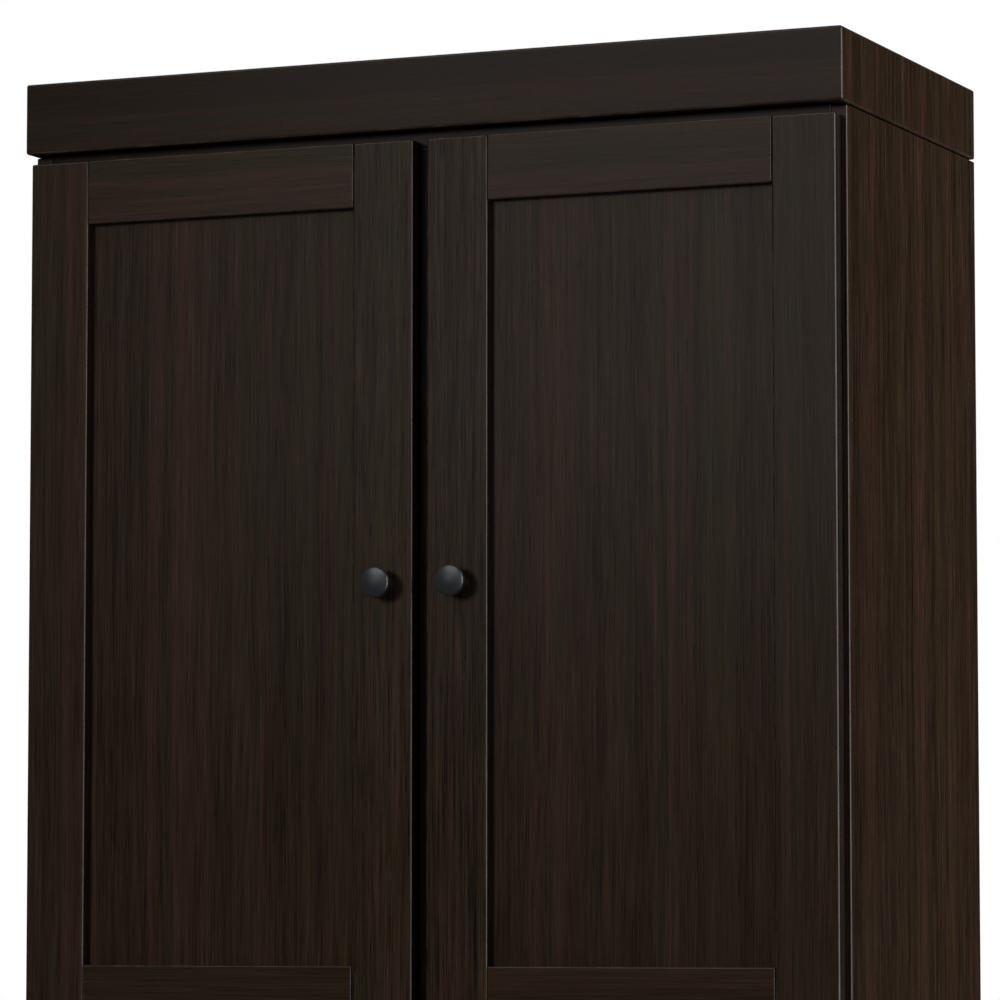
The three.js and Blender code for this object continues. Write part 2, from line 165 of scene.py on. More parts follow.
def makeGrainGroup():
    tree, given, made = newGroup("foilGrain", "ShaderNodeTree", {
        "Place": ("Vector", None),
        "Brown": ("Color", (0.0280, 0.0160, 0.0092, 1)),
        "Red": ("Color", (0.0345, 0.0170, 0.0110, 1)),
        "Olive": ("Color", (0.0250, 0.0168, 0.0082, 1)),
        "Tan": ("Color", (0.062, 0.040, 0.025, 1)),
        "Band": ("Float", 0.9),
        "Ring": ("Float", 0.16),
        "Stripe": ("Float", 0.8),
        "Streak": ("Float", 0.9),
        "Thread": ("Float", 2.2),
        "Fleck": ("Float", 0.22),
        "Pore": ("Float", 0.35),
        "Contrast": ("Float", 1.0),
        "Tone": ("Float", 1.0),
    }, {"Colour": "Color", "Height": "Float", "Gloss": "Float"})

    wander = grainNoise(tree, given["Place"], **grainWander)
    sway = aboutMean(tree, wander, grainMarks["sway"])
    offset = addNode(tree, "ShaderNodeCombineXYZ", {"X": sway, "Y": sway}).outputs[0]
    place = addNode(tree, "ShaderNodeVectorMath", {0: given["Place"], 1: offset}, operation="ADD").outputs[0]
    noises = [grainNoise(tree, place, **layer) for layer in grainLayers.values()]
    band, tint, stripe, streak, fine, pore, slow = noises

    # Growth rings are the contours of a slow field: nearly straight, with a few long arcs
    apart = addNode(tree, "ShaderNodeSeparateXYZ", {0: place}).outputs
    ringPlace = sumUp(tree, "DIVIDE", sumUp(tree, "ADD", apart["X"], apart["Y"]), grainMarks["ringPitch"])
    phase = sumUp(tree, "MULTIPLY_ADD", slow, grainMarks["ringDrift"], ringPlace)
    wave = sumUp(tree, "SINE", times(tree, phase, math.tau))
    broken = stepUp(tree, streak, *grainMarks["ringBreaks"])
    ring = times(tree, stepUp(tree, wave, *grainMarks["ringEnds"]), broken)

    hue = mixColour(tree, stepUp(tree, tint, *grainMarks["tintEnds"]), given["Olive"], given["Red"])
    colour = mixColour(tree, stepUp(tree, band, *grainMarks["bandEnds"]), given["Brown"], hue)
    light = aboutMean(tree, band, given["Band"])
    light = sumUp(tree, "MULTIPLY_ADD", sumUp(tree, "SUBTRACT", stripe, noiseMean), given["Stripe"], light)
    lines = aboutMean(tree, streak, given["Streak"])
    threads = aboutMean(tree, fine, given["Thread"])
    dark = times(tree, stepUp(tree, pore, *grainMarks["poreEnds"]), given["Pore"])
    dark = sumUp(tree, "MULTIPLY_ADD", ring, given["Ring"], dark)
    total = sumUp(tree, "ADD", sumUp(tree, "ADD", light, lines), threads)
    total = sumUp(tree, "MULTIPLY_ADD", sumUp(tree, "SUBTRACT", total, dark), given["Contrast"], 1.0)
    shade = scaled(tree, colour, total)
    broken = stepUp(tree, streak, *grainMarks["fleckBreaks"])
    fleck = times(tree, stepUp(tree, fine, *grainMarks["fleckEnds"]), broken)
    fleck = times(tree, fleck, given["Contrast"])
    shade = mixColour(tree, times(tree, fleck, given["Fleck"]), shade, given["Tan"])

    tree.links.new(scaled(tree, shade, given["Tone"]), made["Colour"])
    height = sumUp(tree, "SUBTRACT", times(tree, fine, grainMarks["fineHeight"]), dark)
    tree.links.new(height, made["Height"])
    gloss = times(tree, sumUp(tree, "ADD", streak, fine), grainMarks["glossShare"])
    tree.links.new(gloss, made["Gloss"])
    return tree


# A lighter, warmer colour along the eased edges, in patches: partly rubbed wear and partly a painted
# highlight that warms the edge highlights
rubbingAndHighlight = {
    "patch": {"across": 0.030, "along": 0.030, "detail": 3.0, "roughness": 0.65, "shift": (4.0, 1.0, 9.0)},
    "patchEnds": (0.40, 0.70), "least": 0.25,
}


def makeWearAndHighlightGroup():
    tree, given, made = newGroup("edgeWear", "ShaderNodeTree", {
        "Place": ("Vector", None),
        "Edge": ("Float", 0.0),
        "Amount": ("Float", 0.5),
    }, {"Mask": "Float"})
    patch = grainNoise(tree, given["Place"], **rubbingAndHighlight["patch"])
    patch = stepUp(tree, patch, *rubbingAndHighlight["patchEnds"], rubbingAndHighlight["least"], 1.0)
    rubbedAndLit = times(tree, given["Edge"], patch)
    tree.links.new(times(tree, rubbedAndLit, given["Amount"]), made["Mask"])
    return tree


# Faint hand marks and dust, as an even mask about zero
smudges = {
    "wide": {"across": 0.14, "along": 0.14, "detail": 2.0, "shift": (0.3, 6.1, 2.9)},
    "small": {"across": 0.012, "along": 0.012, "detail": 4.0, "roughness": 0.6, "shift": (8.2, 3.3, 0.9)},
    "smallShare": 0.5, "mean": 0.75,
}


def makeSmudgeGroup():
    tree, given, made = newGroup("handMarks", "ShaderNodeTree", {
        "Place": ("Vector", None),
        "Amount": ("Float", 0.05),
    }, {"Mask": "Float"})
    wide = grainNoise(tree, given["Place"], **smudges["wide"])
    small = grainNoise(tree, given["Place"], **smudges["small"])
    both = sumUp(tree, "MULTIPLY_ADD", small, smudges["smallShare"], wide)
    both = sumUp(tree, "SUBTRACT", both, smudges["mean"])
    tree.links.new(times(tree, both, given["Amount"]), made["Mask"])
    return tree


# Drawn or turned metal: fine lines along z of the place that it is given, and a little staining
drawing = {
    "line": {"across": 0.00035, "along": 0.030, "detail": 2.0, "roughness": 0.6},
    "stain": {"across": 0.009, "along": 0.009, "detail": 4.0, "roughness": 0.6, "shift": (3.0, 2.0, 1.0)},
    "lineGloss": 0.4, "stainGloss": 0.6,
}


def makeMetalGroup():
    tree, given, made = newGroup("drawnMetal", "ShaderNodeTree", {
        "Place": ("Vector", None),
        "Colour": ("Color", (0.5, 0.5, 0.5, 1)),
        "Lines": ("Float", 0.25),
        "Stain": ("Float", 0.25),
    }, {"Colour": "Color", "Height": "Float", "Gloss": "Float"})
    line = grainNoise(tree, given["Place"], **drawing["line"])
    stain = grainNoise(tree, given["Place"], **drawing["stain"])
    light = aboutMean(tree, line, given["Lines"])
    dull = aboutMean(tree, stain, given["Stain"])
    total = sumUp(tree, "ADD", sumUp(tree, "ADD", light, dull), 1.0)
    tree.links.new(scaled(tree, given["Colour"], total), made["Colour"])
    tree.links.new(line, made["Height"])
    lineGloss = times(tree, line, drawing["lineGloss"])
    tree.links.new(sumUp(tree, "MULTIPLY_ADD", stain, drawing["stainGloss"], lineGloss), made["Gloss"])
    return tree


grainGroup = makeGrainGroup()
wearAndHighlightGroup = makeWearAndHighlightGroup()
smudgeGroup = makeSmudgeGroup()
metalGroup = makeMetalGroup()


# Finishes: what each gives its group, and how its roughness and relief follow the group's outputs
foils = {
    "foil": {"given": {}, "roughness": 0.26, "wornAndLit": (0.105, 0.072, 0.054, 1), "wearAndLit": 0.6, "marks": 0.08},
    "lining": {"given": {"Brown": (0.034, 0.024, 0.017, 1)}, "roughness": 0.6, "wornAndLit": (0.11, 0.085, 0.06, 1),
               "wearAndLit": 0.5, "marks": 0.2},
}
metals = {
    "steel": {"given": {"Colour": (0.58, 0.58, 0.56, 1), "Lines": 0.3, "Stain": 0.35}, "roughness": 0.34,
              "metallic": 0.7, "marks": 0.15},
    "gunmetal": {"given": {"Colour": (0.150, 0.157, 0.163, 1), "Lines": 0.4, "Stain": 0.5}, "roughness": 0.42,
                 "metallic": 0.85, "marks": 0.15, "attribute": "turnPlace"},
}
foilRelief = {"spread": 0.04, "strength": 0.15, "depth": 0.3 * mm}
metalRelief = {"spread": 0.07, "strength": 0.12, "depth": 0.05 * mm}
glossEnds = (0.3, 0.7)


def newMaterial(name):
    material = bpy.data.materials.new(name)
    material.use_nodes = True
    return material, material.node_tree, material.node_tree.nodes["Principled BSDF"]


def readAttribute(tree, name, output="Fac"):
    return addNode(tree, "ShaderNodeAttribute", attribute_name=name).outputs[output]


# Roughness about its middle with hand marks on it, and a fine relief
def dressSurface(tree, shader, made, place, values, relief):
    inputs = {"Place": place, "Amount": values["marks"]}
    marks = addNode(tree, "ShaderNodeGroup", inputs, node_tree=smudgeGroup).outputs["Mask"]
    low, high = values["roughness"] - relief["spread"], values["roughness"] + relief["spread"]
    rough = stepUp(tree, made["Gloss"], *glossEnds, low, high, "LINEAR")
    tree.links.new(sumUp(tree, "ADD", rough, marks), shader.inputs["Roughness"])
    inputs = {"Height": made["Height"], "Strength": relief["strength"], "Distance": relief["depth"]}
    tree.links.new(addNode(tree, "ShaderNodeBump", inputs).outputs[0], shader.inputs["Normal"])


def makeFoil(name, values):
    material, tree, shader = newMaterial(name)
    place = readAttribute(tree, "grainPlace", "Vector")
    tone, contrast = readAttribute(tree, "boardTone"), readAttribute(tree, "grainContrast")
    inputs = {"Place": place, "Tone": tone, "Contrast": contrast, **values["given"]}
    grain = addNode(tree, "ShaderNodeGroup", inputs, node_tree=grainGroup).outputs
    inputs = {"Place": place, "Edge": readAttribute(tree, "edge"), "Amount": values["wearAndLit"]}
    wornAndLit = addNode(tree, "ShaderNodeGroup", inputs, node_tree=wearAndHighlightGroup).outputs["Mask"]
    # The eased edges take the lighter colour: partly wear, partly painted highlight
    tree.links.new(mixColour(tree, wornAndLit, grain["Colour"], values["wornAndLit"]), shader.inputs["Base Color"])
    dressSurface(tree, shader, grain, place, values, foilRelief)
    return material


def makeMetal(name, values):
    material, tree, shader = newMaterial(name)
    place = addNode(tree, "ShaderNodeTexCoord").outputs["Object"]
    linePlace = readAttribute(tree, values["attribute"], "Vector") if "attribute" in values else place
    inputs = {"Place": linePlace, **values["given"]}
    metal = addNode(tree, "ShaderNodeGroup", inputs, node_tree=metalGroup).outputs
    tree.links.new(metal["Colour"], shader.inputs["Base Color"])
    dressSurface(tree, shader, metal, place, values, metalRelief)
    shader.inputs["Metallic"].default_value = values["metallic"]
    return material


materials = {name: makeFoil(name, values) for name, values in foils.items()}
materials.update({name: makeMetal(name, values) for name, values in metals.items()})
print("finishes made:", ", ".join(materials))


# Solid shapes: eased boxes, turned forms, upright prisms, and cuts among them
roundProfile = 0.5
smoothing = {"boards": 32, "turned": 40, "formed": 50, "weight": 90}


def pieceFrom(name, mesh):
    data = bpy.data.meshes.new(name)
    mesh.to_mesh(data)
    mesh.free()
    obj = bpy.data.objects.new(name, data)
    scene.collection.objects.link(obj)
    return obj


def easedBox(name, low, high, ease=0.0, segments=1):
    mesh = bmesh.new()
    size = [far - near for near, far in zip(low, high)]
    middle = [(far + near) / 2 for near, far in zip(low, high)]
    place = Matrix.Translation(middle) @ Matrix.Diagonal((*size, 1))
    bmesh.ops.create_cube(mesh, size=1, matrix=place)
    if ease:
        bmesh.ops.bevel(mesh, geom=list(mesh.edges), offset=ease, segments=segments,
                        profile=roundProfile, affect="EDGES")
    return pieceFrom(name, mesh)


# A profile of (radius, height) that starts and ends on the axis is turned about z, then placed
def turnedPiece(name, profile, steps, place=Matrix.Identity(4)):
    mesh = bmesh.new()
    rings = []
    for radius, height in profile:
        angles = [math.tau * step / steps for step in range(steps)] if radius else [0]
        spots = [Vector((radius * math.cos(angle), radius * math.sin(angle), height)) for angle in angles]
        rings.append([mesh.verts.new(place @ spot) for spot in spots])
    for lower, upper in zip(rings, rings[1:]):
        for step in range(steps):
            beside = (step + 1) % steps
            corners = [lower[step % len(lower)], lower[beside % len(lower)],
                       upper[beside % len(upper)], upper[step % len(upper)]]
            mesh.faces.new(list(dict.fromkeys(corners)))
    bmesh.ops.recalc_face_normals(mesh, faces=mesh.faces)
    return pieceFrom(name, mesh)


def rodProfile(radius, ends):
    return [(0, ends[0]), (radius, ends[0]), (radius, ends[1]), (0, ends[1])]


def arcPoints(centre, radius, start, end, steps):
    angles = [math.radians(start + (end - start) * step / steps) for step in range(steps + 1)]
    return [(centre[0] + radius * math.cos(angle), centre[1] + radius * math.sin(angle)) for angle in angles]


def bentPoints(start, middle, end, steps):
    points = []
    for step in range(steps + 1):
        share = step / steps
        near, far, late = (1 - share) ** 2, 2 * share * (1 - share), share ** 2
        points.append(tuple(near * a + far * b + late * c for a, b, c in zip(start, middle, end)))
    return points


def uprightPrism(name, points, zEnds):
    mesh = bmesh.new()
    base = [mesh.verts.new((x, y, zEnds[0])) for x, y in points]
    top = [mesh.verts.new((x, y, zEnds[1])) for x, y in points]
    mesh.faces.new(base)
    mesh.faces.new(top)
    for index in range(len(points)):
        beside = (index + 1) % len(points)
        mesh.faces.new((base[index], base[beside], top[beside], top[index]))
    bmesh.ops.recalc_face_normals(mesh, faces=mesh.faces)
    return pieceFrom(name, mesh)


def applyModifiers(obj):
    bpy.context.view_layer.update()
    graph = bpy.context.evaluated_depsgraph_get()
    changed = obj.evaluated_get(graph)
    data = bpy.data.meshes.new_from_object(changed, preserve_all_data_layers=True, depsgraph=graph)
    obj.modifiers.clear()
    obj.data = data
    data.name = obj.name


def combine(obj, others, operation="DIFFERENCE"):
    for other in others:
        change = obj.modifiers.new("combine", "BOOLEAN")
        change.operation = operation
        change.solver = "EXACT"
        change.object = other
    applyModifiers(obj)
    for other in others:
        bpy.data.objects.remove(other)
    return obj


def softenNormals(obj, angle):
    obj.data.shade_smooth()
    obj.data.set_sharp_from_angle(angle=math.radians(angle))
    weighted = obj.modifiers.new("weighted normals", "WEIGHTED_NORMAL")
    weighted.keep_sharp = True
    weighted.weight = smoothing["weight"]


def writeAttribute(obj, name, values, kind="FLOAT", field="value"):
    obj.data.attributes.new(name, kind, "POINT").data.foreach_set(field, values)


def finishPiece(obj, material, body, node=None):
    obj.data.materials.clear()
    obj.data.materials.append(materials[material])
    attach(obj, body)
    if node:
        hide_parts(node)


# Boards: each is cut from its own stretch of the printed sheet
board = {"ease": 1.5 * mm, "segments": 4, "thinEase": 0.2 * mm, "backRecess": 0.35 * mm, "contrast": 0.8,
         "topBoardShade": 0.6, "edgeGain": 2}
grainTurns = {"up": Matrix.Identity(3), "across": Matrix(((0, 0, 1), (0, 1, 0), (1, 0, 0)))}
sheet = {"seed": 7, "reach": 20, "shared": (5, 5, 5)}
sheets = random.Random(sheet["seed"])


def sheetShift():
    return [sheets.uniform(-sheet["reach"], sheet["reach"]) for _ in range(3)]


# Writes where each vertex lies on the sheet, how dark the board is, which holds both its own tone and painted
# shade, how lively it is, and how near an eased edge the vertex lies
def setGrain(obj, turn, shift, box, ease, tone, contrast):
    places, edges = [], []
    for vertex in obj.data.vertices:
        places.extend(grainTurns[turn] @ vertex.co + Vector(shift))
        depths = [min(at - low, high - at) for at, low, high in zip(vertex.co, *box)]
        nearest = sorted(max(0.0, 1 - depth / ease) for depth in depths)
        edges.append(board["edgeGain"] * nearest[1] * nearest[2])
    count = len(obj.data.vertices)
    writeAttribute(obj, "grainPlace", places, "FLOAT_VECTOR", "vector")
    writeAttribute(obj, "boardTone", [tone] * count)
    writeAttribute(obj, "grainContrast", [contrast] * count)
    writeAttribute(obj, "edge", edges)


def finishBoard(obj, node, turn, box, ease, material="foil", shift=None, tone=1.0,
                contrast=board["contrast"]):
    setGrain(obj, turn, shift or sheetShift(), box, ease, tone, contrast)
    softenNormals(obj, smoothing["boards"])
    finishPiece(obj, material, bodyOf[node], node)


def boardSolid(node, box, ease=board["ease"]):
    return easedBox(f"{node}_board", *box, ease, board["segments"])


def plainBoard(node, turn, ease=board["ease"], material="foil", tone=1.0, contrast=board["contrast"]):
    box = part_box(node)
    finishBoard(boardSolid(node, box, ease), node, turn, box, ease, material, tone=tone, contrast=contrast)


# Doors: stiles and rails with eased edges that meet in V-joints, round a panel let into their groove
door = {"ease": 2.1 * mm, "railEase": 1.5 * mm, "segments": 4, "grooveDepth": 8 * mm, "grooveGap": 0.3 * mm,
        "overrun": 5 * mm, "shoulderGap": 0.3 * mm,
        "contrasts": {"hinge": 0.75, "lock": 1.2, "rail": 0.55, "panel": 0.85},
        "outerStrip": {"tone": 0.4, "reach": 0.35}, "leftPaintedShade": {"tone": 0.12, "reach": 0.65}}
bores = {"cupRadius": 17.8 * mm, "cupDepth": 14.3 * mm, "knobRadius": 2.3 * mm, "steps": 48}
alongY = Matrix.Rotation(math.radians(-90), 4, "X")


def middleOf(node):
    low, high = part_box(node)
    return (low + high) / 2


def groove(panel, xEnds, zEnds):
    low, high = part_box(panel)
    gap = door["grooveGap"]
    return easedBox("groove", (xEnds[0], low.y - gap, zEnds[0]), (xEnds[1], high.y + gap, zEnds[1]))


def boreAt(middle, radius, yEnds):
    place = Matrix.Translation((middle.x, 0, middle.z)) @ alongY
    return turnedPiece("bore", rodProfile(radius, yEnds), bores["steps"], place)


# A stile's narrow faces are darkened from partway round the eased edge: the outer face to a darker tone, and
# the left-facing eased edge to near black, which is painted shade for the dark line beside the panel and in
# the V-joints
def darkenSide(obj, x, strip):
    tones = obj.data.attributes["boardTone"].data
    for vertex in obj.data.vertices:
        if abs(vertex.co.x - x) < door["ease"] * strip["reach"]:
            tones[vertex.index].value = strip["tone"]


def makeStile(name, kind):
    node, panel = f"{name}_{kind}_stile", f"{name}_door_panel"
    low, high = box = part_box(node)
    obj = easedBox(f"{node}_board", low, high, door["ease"], door["segments"])
    depth, over = door["grooveDepth"], door["overrun"]
    # The groove opens on the side where the panel is
    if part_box(panel)[0].x > low.x:
        xEnds, outer = (high.x - depth, high.x + over), low.x
    else:
        xEnds, outer = (low.x - over, low.x + depth), high.x
    cutters = [groove(panel, xEnds, (low.z - over, high.z + over))]
    if kind == "hinge":
        yEnds = (high.y - bores["cupDepth"], high.y + over)
        for number in hingeNumbers:
            cutters.append(boreAt(middleOf(f"{name}_hinge_cup_{number}"), bores["cupRadius"], yEnds))
    else:
        yEnds = (low.y - over, high.y + over)
        cutters.append(boreAt(middleOf(f"{name}_knob"), bores["knobRadius"], yEnds))
    combine(obj, cutters)
    finishBoard(obj, node, "up", box, door["ease"], contrast=door["contrasts"][kind])
    darkenSide(obj, outer, door["outerStrip"])
    # Painted shade: the left-facing eased edge is made near black, for the dark line where shade falls beside
    # the panel
    darkenSide(obj, low.x, door["leftPaintedShade"])


def makeRail(name, kind):
    node, panel = f"{name}_{kind}_rail", f"{name}_door_panel"
    low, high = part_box(node)
    panelLow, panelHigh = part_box(panel)
    stiles = [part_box(f"{name}_{side}_stile") for side in ("hinge", "lock")]
    stiles.sort(key=lambda ends: ends[0].x)
    left, right = stiles[0][1].x + door["shoulderGap"], stiles[1][0].x - door["shoulderGap"]
    depth, over, ease = door["grooveDepth"], door["overrun"], door["railEase"]
    box = (Vector((left, low.y, low.z)), Vector((right, high.y, high.z)))
    obj = easedBox(f"{node}_board", *box, ease, door["segments"])
    tongue = easedBox("tongue", (low.x, panelLow.y, low.z + ease), (high.x, panelHigh.y, high.z - ease))
    combine(obj, [tongue], "UNION")
    zEnds = (high.z - depth, high.z + over) if panelLow.z > low.z else (low.z - over, low.z + depth)
    combine(obj, [groove(panel, (low.x - over, high.x + over), zEnds)])
    finishBoard(obj, node, "across", box, ease, contrast=door["contrasts"]["rail"])


for name in doorNames:
    for kind in ("hinge", "lock"):
        makeStile(name, kind)
    for kind in ("bottom", "top"):
        makeRail(name, kind)
    plainBoard(f"{name}_door_panel", "up", board["thinEase"], contrast=door["contrasts"]["panel"])
print("door frames and panels made")


# Cornice: a box with mitred front corners; its returns carry on the grain of the side panels
cornice = {"ease": 2.5 * mm, "segments": 5, "mitreGap": 0.1 * mm, "overrun": 5 * mm, "frontTone": 0.70,
           "frontContrast": 0.4, "returnContrast": 1.25}


def makeCornice():
    ease, over, gap = cornice["ease"], cornice["overrun"], cornice["mitreGap"]
    front, right, rail, lid = (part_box(f"cornice_{part}") for part in ("front", "right", "back", "top"))
    half, innerHalf = right[1].x, rail[1].x
    ahead, innerFront, back = front[0].y, lid[0].y, right[1].y
    bottom, top = front[0].z, front[1].z
    box = (Vector((-half, ahead, bottom)), Vector((half, back, top)))
    hollow = ((-innerHalf, innerFront, bottom - over), (innerHalf, back + over, top + over))
    reach = half - innerHalf + over
    frontWedge = [(-half - over + gap, ahead - over), (half + over - gap, ahead - over),
                  (half - reach - gap, ahead + reach), (reach - half + gap, ahead + reach)]
    wedges = {"front": frontWedge}
    for side, sign in sideSigns.items():
        wedges[side] = [(sign * (half + over), ahead - over), (sign * (half + over), back + over),
                        (sign * (half - reach), back + over), (sign * (half - reach), ahead + reach)]
    for part, wedge in wedges.items():
        node = f"cornice_{part}"
        obj = easedBox(f"{node}_board", *box, ease, cornice["segments"])
        combine(obj, [easedBox("hollow", *hollow)])
        combine(obj, [uprightPrism("wedge", wedge, (bottom - over, top + over))], "INTERSECT")
        if part == "front":
            turn, tone, contrast = "across", cornice["frontTone"], cornice["frontContrast"]
        else:
            turn, tone, contrast = "up", 1.0, cornice["returnContrast"]
        finishBoard(obj, node, turn, box, ease, "foil", sheet["shared"], tone, contrast)
    plainBoard("cornice_top", "across")
    plainBoard("cornice_back", "across", material="lining")


makeCornice()
print("cornice made")


# Geometry trees: rows of drilled holes in a board, and fittings set on marks
drilling = {"holes": 5, "pitch": 32 * mm, "radius": 2.5 * mm, "depth": 7 * mm, "overrun": 5 * mm, "sides": 24}


def useTree(obj, tree, values):
    change = obj.modifiers.new(tree.name, "NODES")
    change.node_group = tree
    identifiers = {}
    for item in tree.interface.items_tree:
        if item.item_type == "SOCKET" and item.in_out == "INPUT":
            identifiers[item.name] = item.identifier
    for label, value in values.items():
        change[identifiers[label]] = value
    applyModifiers(obj)


# The marks, and the turns that set z along the way each mark faces
def marksIn(tree, given):
    marks = addNode(tree, "GeometryNodeObjectInfo", {"Object": given["Marks"]}).outputs["Geometry"]
    facing = addNode(tree, "GeometryNodeInputNamedAttribute", {"Name": "facing"}, data_type="FLOAT_VECTOR")
    turned = addNode(tree, "FunctionNodeAlignRotationToVector", {"Vector": facing.outputs[0]}, axis="Z")
    return marks, turned.outputs[0]


def placeOn(tree, points, instance, **inputs):
    inputs.update({"Points": points, "Instance": instance})
    placed = addNode(tree, "GeometryNodeInstanceOnPoints", inputs).outputs[0]
    return addNode(tree, "GeometryNodeRealizeInstances", {"Geometry": placed}).outputs[0]


def giveFinish(tree, geometry, finish, end):
    inputs = {"Geometry": geometry, "Material": finish}
    tree.links.new(addNode(tree, "GeometryNodeSetMaterial", inputs).outputs[0], end)


def makeDrillTree():
    tree, given, made = newGroup("drilledRows", "GeometryNodeTree", {
        "Board": ("Geometry", None),
        "Marks": ("Object", None),
        "Holes": ("Int", drilling["holes"]),
        "Pitch": ("Float", drilling["pitch"]),
        "Radius": ("Float", drilling["radius"]),
        "Depth": ("Float", drilling["depth"]),
        "Overrun": ("Float", drilling["overrun"]),
        "Finish": ("Material", None),
    }, {"Board": "Geometry"})
    marks, turned = marksIn(tree, given)
    gaps = sumUp(tree, "SUBTRACT", given["Holes"], 1.0)
    start = times(tree, times(tree, gaps, given["Pitch"]), -0.5)
    first = addNode(tree, "ShaderNodeCombineXYZ", {"Z": start}).outputs[0]
    step = addNode(tree, "ShaderNodeCombineXYZ", {"Z": given["Pitch"]}).outputs[0]
    inputs = {"Count": given["Holes"], "Start Location": first, "Offset": step}
    row = addNode(tree, "GeometryNodeMeshLine", inputs, mode="OFFSET").outputs[0]
    points = placeOn(tree, marks, row)
    length = sumUp(tree, "ADD", given["Depth"], given["Overrun"])
    inputs = {"Vertices": drilling["sides"], "Radius": given["Radius"], "Depth": length}
    drill = addNode(tree, "GeometryNodeMeshCylinder", inputs).outputs[0]
    sunk = times(tree, sumUp(tree, "SUBTRACT", given["Overrun"], given["Depth"]), 0.5)
    inward = addNode(tree, "ShaderNodeCombineXYZ", {"Z": sunk}).outputs[0]
    drill = addNode(tree, "GeometryNodeTransform", {"Geometry": drill, "Translation": inward}).outputs[0]
    inputs = {"Mesh 1": given["Board"], "Mesh 2": placeOn(tree, points, drill, Rotation=turned)}
    cut = addNode(tree, "GeometryNodeMeshBoolean", inputs, operation="DIFFERENCE", solver="EXACT").outputs[0]
    real = addNode(tree, "GeometryNodeRealizeInstances", {"Geometry": cut}).outputs[0]
    giveFinish(tree, real, given["Finish"], made["Board"])
    return tree


def makeFittingTree():
    tree, given, made = newGroup("fittingsOnMarks", "GeometryNodeTree", {
        "Empty": ("Geometry", None),
        "Marks": ("Object", None),
        "Part": ("Object", None),
        "Size": ("Float", 1.0),
        "Most turn": ("Float", math.tau),
        "Seed": ("Int", 3),
        "Finish": ("Material", None),
    }, {"Fittings": "Geometry"})
    marks, turned = marksIn(tree, given)
    part = addNode(tree, "GeometryNodeObjectInfo", {"Object": given["Part"]}).outputs["Geometry"]
    # The float sockets of a random value go by number, as they share their names with others
    inputs = {2: 0.0, 3: given["Most turn"], "Seed": given["Seed"]}
    turn = addNode(tree, "FunctionNodeRandomValue", inputs, data_type="FLOAT").outputs[1]
    spin = addNode(tree, "FunctionNodeAxisAngleToRotation", {"Axis": (0, 0, 1), "Angle": turn}).outputs[0]
    inputs = {"Rotation": turned, "Rotate By": spin}
    rotation = addNode(tree, "FunctionNodeRotateRotation", inputs, rotation_space="LOCAL").outputs[0]
    real = placeOn(tree, marks, part, Rotation=rotation, Scale=given["Size"])
    giveFinish(tree, real, given["Finish"], made["Fittings"])
    return tree


drillTree = makeDrillTree()
fittingTree = makeFittingTree()


# A tree takes its marks from an object of their own, which is removed when they have been used
def useMarks(obj, tree, marks, values):
    data = bpy.data.meshes.new("marks")
    data.from_pydata([place for place, facing in marks], [], [])
    held = bpy.data.objects.new("marks", data)
    flat = [value for place, facing in marks for value in facing]
    writeAttribute(held, "facing", flat, "FLOAT_VECTOR", "vector")
    scene.collection.objects.link(held)
    useTree(obj, tree, {"Marks": held, **values})
    bpy.data.objects.remove(held)


def setFittings(name, marks, part, body, size=1.0):
    obj = pieceFrom(name, bmesh.new())
    useMarks(obj, fittingTree, marks, {"Part": part, "Size": size, "Finish": materials["steel"]})
    softenNormals(obj, smoothing["turned"])
    finishPiece(obj, "steel", body)


# Carcass boards, with the rows of holes that the shelf pins stand in
pins = {"rowInset": 37 * mm, "drop": 2.165 * mm, "radius": 2.15 * mm, "holeDepth": 7 * mm, "reach": 8 * mm,
        "collarRadius": 3.1 * mm, "collarHeight": 0.6 * mm, "steps": 24, "round": 0.6 * mm, "roundSteps": 4}
sidePanel = {"overrun": 5 * mm, "contrast": 1.25, "topGap": 1.1 * mm}
shelf = {"sideGap": 0.8 * mm}


# Marks stand on one face of a board, at the height of the pins, and look towards the shelves
def pinMarks(face, sign, shelfNames):
    low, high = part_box("upper_divider")
    rowPlaces = (low.y + pins["rowInset"], high.y - pins["rowInset"])
    heights = [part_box(node)[0].z - pins["drop"] for node in shelfNames]
    return [((face, y, z), (sign, 0, 0)) for z in heights for y in rowPlaces]


def shelvesOf(row, side):
    return [node for node in frame["nodes"] if node.startswith(f"{row}_shelf_{side}")]


def drillRows(obj, marks):
    useMarks(obj, drillTree, marks, {"Finish": materials["foil"]})


def makeSidePanels():
    over = sidePanel["overrun"]
    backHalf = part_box("back_panel")[1].x + door["grooveGap"]
    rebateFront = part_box("back_panel")[0].y
    made = []
    for side, sign in sideSigns.items():
        node = f"side_panel_{side}"
        low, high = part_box(node)
        inner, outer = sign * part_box("middle_board")[1].x, high.x if sign > 0 else low.x
        near, far = sorted((inner, outer))
        box = (Vector((near, low.y, low.z)), Vector((far, high.y, high.z - sidePanel["topGap"])))
        obj = boardSolid(node, box)
        near, far = sorted((inner - sign * over, sign * backHalf))
        cutter = easedBox("rebate", (near, rebateFront, low.z - over), (far, high.y + over, high.z + over))
        combine(obj, [cutter])
        marks = pinMarks(inner, -sign, shelvesOf("upper", side) + shelvesOf("lower", side))
        drillRows(obj, marks)
        finishBoard(obj, node, "up", box, board["ease"], shift=sheet["shared"],
                    contrast=sidePanel["contrast"])
        made.extend(marks)
    return made


def makeDividers():
    made = []
    for row in rowNames:
        node = f"{row}_divider"
        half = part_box(f"{row}_shelf_right_1")[0].x - shelf["sideGap"]
        low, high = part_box(node)
        box = (Vector((-half, low.y, low.z)), Vector((half, high.y, high.z)))
        obj = boardSolid(node, box)
        marks = []
        for side, sign in sideSigns.items():
            marks.extend(pinMarks(sign * half, sign, shelvesOf(row, side)))
        drillRows(obj, marks)
        finishBoard(obj, node, "up", box, board["ease"])
        made.extend(marks)
    return made


